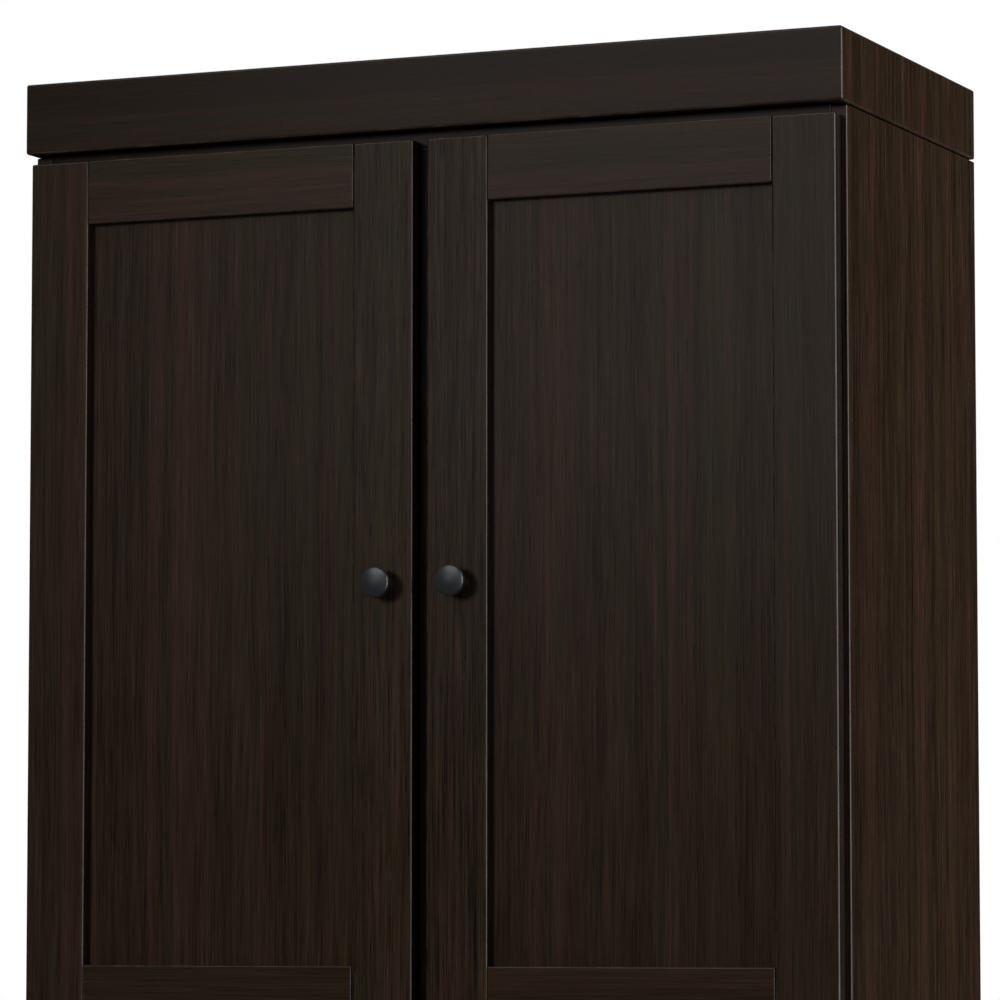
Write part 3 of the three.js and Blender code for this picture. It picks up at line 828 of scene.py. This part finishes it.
def makePinPart():
    radius, reach, rounding = pins["radius"], pins["reach"], pins["round"]
    profile = [(0, -pins["holeDepth"]), (radius, -pins["holeDepth"]), (radius, 0), (pins["collarRadius"], 0),
               (pins["collarRadius"], pins["collarHeight"]), (radius, pins["collarHeight"])]
    profile += arcPoints((radius - rounding, reach - rounding), rounding, 0, 90, pins["roundSteps"])
    return turnedPiece("pin part", profile + [(0, reach)], pins["steps"])


def makeBackPanel():
    low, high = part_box("back_panel")
    box = (low, Vector((high.x, high.y - board["backRecess"], high.z)))
    obj = boardSolid("back_panel", box, board["thinEase"])
    finishBoard(obj, "back_panel", "up", box, board["thinEase"], "lining")


pinPlaces = makeSidePanels() + makeDividers()
# The top board is darkened all over as painted shade, for the cornice's shadow on its front edge
plainBoard("top_board", "across", tone=board["topBoardShade"])
for node in ("bottom_board", "middle_board", "plinth_front"):
    plainBoard(node, "across")
for node in [name for name in frame["nodes"] if "_shelf_" in name]:
    plainBoard(node, "across")
makeBackPanel()
pinPart = makePinPart()
setFittings("shelf_pins", pinPlaces, pinPart, "carcass")
bpy.data.objects.remove(pinPart)
print("carcass made, with", len(pinPlaces), "shelf pins")


# Nails round the back panel and along the boards that it covers
nails = {"pitch": 110 * mm, "edgeIn": 4 * mm, "radius": 1.6 * mm, "height": 0.3 * mm, "sunk": 0.3 * mm,
         "rimShare": 0.4, "crownShare": 0.7, "steps": 12}


def spread(start, end, pitch):
    count = max(1, round((end - start) / pitch))
    return [start + (end - start) * index / count for index in range(count + 1)]


def makeNails():
    low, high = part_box("back_panel")
    face = high.y - board["backRecess"]
    inset = nails["edgeIn"]
    uprights = (low.x + inset, 0, high.x - inset)
    levels = [middleOf(f"{level}_board").z for level in ("bottom", "middle", "top")]
    places = [(x, z) for x in uprights for z in spread(levels[0], levels[-1], nails["pitch"])]
    places += [(x, z) for z in levels for x in spread(uprights[0], uprights[-1], nails["pitch"])[1:-1]]
    radius, height = nails["radius"], nails["height"]
    rim, crown = height * nails["rimShare"], radius * nails["crownShare"]
    profile = [(0, -nails["sunk"]), (radius, -nails["sunk"]), (radius, rim), (crown, height), (0, height)]
    part = turnedPiece("nail part", profile, nails["steps"])
    setFittings("back_nails", [((x, face, z), (0, 1, 0)) for x, z in places], part, "carcass")
    bpy.data.objects.remove(part)
    return len(places)


nailCount = makeNails()
print("back nailed on:", nailCount, "nails")


# Knobs: turned, with a foot, a hollow waist and a domed head with a crisp rim
knob = {"studRadius": 2 * mm, "studLength": 12 * mm, "footRadius": 8 * mm, "footHeight": 1.5 * mm,
        "footRound": 0.4 * mm, "waistRadius": 6 * mm, "waistHeight": 7 * mm, "rimRadius": 15 * mm,
        "rimBack": 13.5 * mm, "rimFront": 19.9 * mm, "backRound": 0.7 * mm, "frontRound": 2.2 * mm,
        "frontTurn": 63, "projection": 23 * mm, "roundSteps": 4, "footSteps": 8, "waistSteps": 10,
        "frontSteps": 8, "domeSteps": 14, "steps": 64}


def knobProfile():
    foot, waist, rim = knob["footRadius"], knob["waistRadius"], knob["rimRadius"]
    footRound, backRound, frontRound = knob["footRound"], knob["backRound"], knob["frontRound"]
    footTop, back, front, top = knob["footHeight"], knob["rimBack"], knob["rimFront"], knob["projection"]
    stud, length, roundSteps = knob["studRadius"], knob["studLength"], knob["roundSteps"]
    points = [(0, -length), (stud, -length), (stud, 0), (foot, 0)]
    points += arcPoints((foot - footRound, footTop - footRound), footRound, 0, 90, roundSteps)
    waistPoint = (waist, knob["waistHeight"])
    points += bentPoints((foot - footRound, footTop), (waist, footTop), waistPoint, knob["footSteps"])[1:]
    points += bentPoints(waistPoint, (waist, back), (rim - backRound, back), knob["waistSteps"])[1:]
    points += arcPoints((rim - backRound, back + backRound), backRound, -90, 0, roundSteps)[1:]
    frontCentre = (rim - frontRound, front - frontRound)
    points += arcPoints(frontCentre, frontRound, 0, knob["frontTurn"], knob["frontSteps"])
    edge = points[-1]
    rise = top - edge[1]
    sphere = (edge[0] ** 2 + rise ** 2) / (2 * rise)
    start = math.degrees(math.asin(1 - rise / sphere))
    points += arcPoints((0, top - sphere), sphere, start, 90, knob["domeSteps"])[1:-1] + [(0, top)]
    return points


def makeKnob(name):
    node = f"{name}_knob"
    middle = middleOf(node)
    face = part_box(node)[0].y + knob["projection"]
    place = Matrix.Translation((middle.x, face, middle.z)) @ Matrix.Rotation(math.radians(90), 4, "X")
    obj = turnedPiece(f"{node}_turned", knobProfile(), knob["steps"], place)
    values = []
    for vertex in obj.data.vertices:
        values.extend((math.hypot(vertex.co.x - middle.x, vertex.co.z - middle.z), vertex.co.y - face, 0))
    writeAttribute(obj, "turnPlace", values, "FLOAT_VECTOR", "vector")
    softenNormals(obj, smoothing["turned"])
    finishPiece(obj, "gunmetal", bodyOf[node], node)


for name in doorNames:
    makeKnob(name)
print("knobs made")


# Hinges: a pressed cup with its winged flange and pin, a formed arm on its plate, and the screws
cup = {"radius": 17.5 * mm, "rim": 0.5 * mm, "wall": 0.6 * mm, "depth": 14 * mm, "flange": 1 * mm,
       "cornerRound": 2.5 * mm, "cornerSteps": 6, "wingOffset": 6 * mm, "wingHalf": 7 * mm,
       "wingReach": 30 * mm, "wingCorner": 5 * mm, "pinOffset": 14.5 * mm, "pinDepth": 10 * mm,
       "pinRadius": 1 * mm, "pinHalf": 9.1 * mm, "pinSteps": 16, "steps": 64}


def cupProfile():
    radius, wall, depth, corner = cup["radius"], cup["wall"], cup["depth"], cup["cornerRound"]
    rim, flange, innerRadius = radius + cup["rim"], cup["flange"], radius - wall
    centre, steps = (radius - corner, corner - depth), cup["cornerSteps"]
    points = [(0, -depth)] + arcPoints(centre, corner, -90, 0, steps)
    points += [(radius, 0), (rim, 0), (rim, flange), (innerRadius, flange)]
    return points + arcPoints(centre, corner - wall, 0, -90, steps) + [(0, wall - depth)]


def roundedWing(xMiddle, zMiddle, yEnds):
    half, reach, corner = cup["wingHalf"], cup["wingReach"], cup["wingCorner"]
    outline = []
    for quarter, (across, up) in enumerate(((1, 1), (-1, 1), (-1, -1), (1, -1))):
        centre = (across * (half - corner), up * (reach - corner))
        outline += arcPoints(centre, corner, 90 * quarter, 90 * quarter + 90, cup["cornerSteps"])
    obj = uprightPrism("wing", outline, (0, yEnds[1] - yEnds[0]))
    obj.data.transform(Matrix.Translation((xMiddle, yEnds[0], zMiddle)) @ alongY)
    return obj


def makeCup(name, number, sign):
    node = f"{name}_hinge_cup_{number}"
    low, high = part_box(node)
    x, z = middleOf(node).x, middleOf(node).z
    doorBack = high.y - cup["flange"]
    place = Matrix.Translation((x, doorBack, z)) @ alongY
    obj = roundedWing(x - sign * cup["wingOffset"], z, (doorBack, high.y))
    obj.name = f"{node}_pressed"
    hole = rodProfile(cup["radius"] - cup["wall"] / 2, (-cup["depth"], cup["depth"]))
    combine(obj, [turnedPiece("hole", hole, cup["steps"], place)])
    combine(obj, [turnedPiece("shell", cupProfile(), cup["steps"], place)], "UNION")
    pin = rodProfile(cup["pinRadius"], (-cup["pinHalf"], cup["pinHalf"]))
    pinAt = Matrix.Translation((x + sign * cup["pinOffset"], doorBack - cup["pinDepth"], z))
    combine(obj, [turnedPiece("pin", pin, cup["pinSteps"], pinAt)], "UNION")
    softenNormals(obj, smoothing["turned"])
    finishPiece(obj, "steel", bodyOf[node], node)


arm = {"merge": 0.00001, "flatAngle": 1, "bevel": 0.3 * mm, "bevelAngle": 50, "bevelSegments": 2}


def makeArm(name, number):
    node = f"{name}_hinge_arm_{number}"
    mesh = bmesh.new()
    mesh.from_mesh(frame["nodes"][node].data)
    flat = math.radians(arm["flatAngle"])
    bmesh.ops.remove_doubles(mesh, verts=mesh.verts, dist=arm["merge"])
    bmesh.ops.dissolve_limit(mesh, angle_limit=flat, verts=mesh.verts, edges=mesh.edges)
    obj = pieceFrom(f"{node}_formed", mesh)
    bevel = obj.modifiers.new("bevel", "BEVEL")
    bevel.width = arm["bevel"]
    bevel.segments = arm["bevelSegments"]
    bevel.limit_method = "ANGLE"
    bevel.angle_limit = math.radians(arm["bevelAngle"])
    softenNormals(obj, smoothing["formed"])
    finishPiece(obj, "steel", bodyOf[node], node)


screw = {"radius": 3.6 * mm, "height": 0.55 * mm, "sunk": 0.5 * mm, "slotLength": 4.2 * mm,
         "slotWidth": 0.85 * mm, "slotDepth": 0.9 * mm, "neckShare": 0.8, "crownShare": 0.75,
         "crownSteps": 5, "steps": 28}


def makeScrewPart():
    radius, height = screw["radius"], screw["height"]
    neck, crown = radius * screw["neckShare"], radius * screw["crownShare"]
    profile = [(0, -screw["sunk"]), (neck, -screw["sunk"]), (radius, 0)]
    profile += bentPoints((radius, 0), (crown, height), (0, height), screw["crownSteps"])[1:]
    obj = turnedPiece("screw part", profile, screw["steps"])
    long, wide = screw["slotLength"] / 2, screw["slotWidth"] / 2
    low, high = height - screw["slotDepth"], height + screw["slotDepth"]
    return combine(obj, [easedBox("slot", (-long, -wide, low), (long, wide, high)),
                         easedBox("slot", (-wide, -long, low), (wide, long, high))])


fixings = {"cupHalf": 24 * mm, "plateSetback": 37 * mm, "plateHalf": 16 * mm, "plateThickness": 2 * mm,
           "armSetbacks": (24 * mm, 43 * mm), "armSize": 0.85, "knobSize": 1.15}


def makeHingesAndScrews():
    part = makeScrewPart()
    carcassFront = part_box("side_panel_left")[0].y
    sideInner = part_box("middle_board")[1].x
    plateY = carcassFront + fixings["plateSetback"]
    plateMarks, armMarks = [], []
    for name in doorNames:
        sign = sideSigns[name.split("_")[1]]
        inward, backward = (-sign, 0, 0), (0, 1, 0)
        plateFace = sign * (sideInner - fixings["plateThickness"])
        cupMarks = []
        for number in hingeNumbers:
            makeCup(name, number, sign)
            makeArm(name, number)
            middle = middleOf(f"{name}_hinge_cup_{number}")
            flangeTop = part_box(f"{name}_hinge_cup_{number}")[1].y
            armLow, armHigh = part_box(f"{name}_hinge_arm_{number}")
            armFace = armLow.x if sign > 0 else armHigh.x
            wingX = middle.x - sign * cup["wingOffset"]
            for way in (-1, 1):
                cupMarks.append(((wingX, flangeTop, middle.z + way * fixings["cupHalf"]), backward))
                plateMarks.append(((plateFace, plateY, middle.z + way * fixings["plateHalf"]), inward))
            for setback in fixings["armSetbacks"]:
                armMarks.append(((armFace, carcassFront + setback, middle.z), inward))
        setFittings(f"{name}_cup_screws", cupMarks, part, name + "_door")
        middle = middleOf(f"{name}_knob")
        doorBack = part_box(f"{name}_lock_stile")[1].y
        knobMark = [((middle.x, doorBack, middle.z), backward)]
        setFittings(f"{name}_knob_screw", knobMark, part, name + "_door", size=fixings["knobSize"])
    setFittings("hinge_plate_screws", plateMarks, part, "carcass")
    setFittings("hinge_arm_screws", armMarks, part, "carcass", size=fixings["armSize"])
    bpy.data.objects.remove(part)


makeHingesAndScrews()
print("hinges and screws made")


# Studio: pale floor that fades into a white surround, and soft lights round the cabinet.
# Lights without gloss show only in the flat tone; lights without fill show only in the gloss.
studio = {"floorSize": 60.0, "floorDrop": 0.5 * mm, "floorColour": (0.82, 0.82, 0.82, 1),
          "floorRoughness": 0.9, "floorShine": 0.1, "floorGlow": 0.35, "fadeFrom": 0.9, "fadeTo": 3.2,
          "ambient": 0.20, "white": (1, 1, 1, 1), "target": (0, 0, 1.0)}
softLights = {
    "key": {"azimuth": -23, "elevation": 14, "distance": 30.0, "size": (4.3, 4.3), "radiance": 64.0,
            "gloss": False},
    "sideRight": {"azimuth": 116, "elevation": 12, "distance": 3.5, "size": (2.4, 3.0), "radiance": 5.4,
                  "gloss": False},
    "rightGloss": {"azimuth": 86, "elevation": 10, "distance": 4.5, "size": (6.4, 3.4), "radiance": 2.6,
                   "fill": False},
    "highGloss": {"azimuth": -12, "elevation": 48, "distance": 4.5, "size": (3.4, 1.6), "radiance": 1.2,
                  "fill": False},
    "overhead": {"azimuth": 0, "elevation": 88, "distance": 4.0, "size": (3.0, 3.0), "radiance": 0.45,
                 "gloss": False},
    "backLeft": {"azimuth": -140, "elevation": 25, "distance": 4.0, "size": (2.0, 2.5), "radiance": 3.5,
                 "gloss": False},
    "sheen": {"place": (-0.75, -4.7, 3.2), "aim": (-0.75, 0, 3.2), "size": (3.4, 3.1), "radiance": 0.38,
              "fill": False},
}


def makeLight(name, values):
    data = bpy.data.lights.new(name, "AREA")
    data.shape = "RECTANGLE"
    data.size, data.size_y = values["size"]
    data.energy = values["radiance"] * math.pi * data.size * data.size_y
    obj = bpy.data.objects.new(name, data)
    if "place" in values:
        obj.location = values["place"]
        away = Vector(values["place"]) - Vector(values["aim"])
    else:
        turn, rise = math.radians(values["azimuth"]), math.radians(values["elevation"])
        away = Vector((math.sin(turn) * math.cos(rise), -math.cos(turn) * math.cos(rise), math.sin(rise)))
        obj.location = Vector(studio["target"]) + away * values["distance"]
    obj.rotation_euler = away.to_track_quat("Z", "Y").to_euler()
    obj.visible_camera = False
    obj.visible_glossy = values.get("gloss", True)
    obj.visible_diffuse = values.get("fill", True)
    scene.collection.objects.link(obj)


def makeSurround():
    world = bpy.data.worlds.new("surround")
    scene.world = world
    world.use_nodes = True
    world.cycles_visibility.glossy = False
    tree = world.node_tree
    tree.nodes.clear()
    seen = addNode(tree, "ShaderNodeLightPath").outputs["Is Camera Ray"]
    strength = stepUp(tree, seen, 0, 1, studio["ambient"], 1, "LINEAR")
    given = addNode(tree, "ShaderNodeBackground", {"Color": studio["white"], "Strength": strength})
    addNode(tree, "ShaderNodeOutputWorld", {"Surface": given.outputs[0]})


def makeFloor():
    half = studio["floorSize"] / 2
    mesh = bmesh.new()
    corners = ((-half, -half), (half, -half), (half, half), (-half, half))
    mesh.faces.new([mesh.verts.new((x, y, -studio["floorDrop"])) for x, y in corners])
    floor = pieceFrom("floor", mesh)
    material, tree, shader = newMaterial("paleFloor")
    shader.inputs["Base Color"].default_value = studio["floorColour"]
    shader.inputs["Roughness"].default_value = studio["floorRoughness"]
    shader.inputs["Specular IOR Level"].default_value = studio["floorShine"]
    place = addNode(tree, "ShaderNodeTexCoord").outputs["Object"]
    far = addNode(tree, "ShaderNodeVectorMath", {0: place}, operation="LENGTH").outputs["Value"]
    fade = stepUp(tree, far, studio["fadeFrom"], studio["fadeTo"], studio["floorGlow"], 1.0)
    seen = addNode(tree, "ShaderNodeLightPath").outputs["Is Camera Ray"]
    glow = addNode(tree, "ShaderNodeEmission", {"Color": studio["white"], "Strength": 1.0})
    share = times(tree, fade, seen)
    mixed = addNode(tree, "ShaderNodeMixShader", {0: share, 1: shader.outputs[0], 2: glow.outputs[0]})
    tree.links.new(mixed.outputs[0], tree.nodes["Material Output"].inputs["Surface"])
    floor.data.materials.append(material)
    floor.visible_glossy = False
    floor.visible_diffuse = False


for name, values in softLights.items():
    makeLight(name, values)
makeSurround()
makeFloor()
print("studio made")
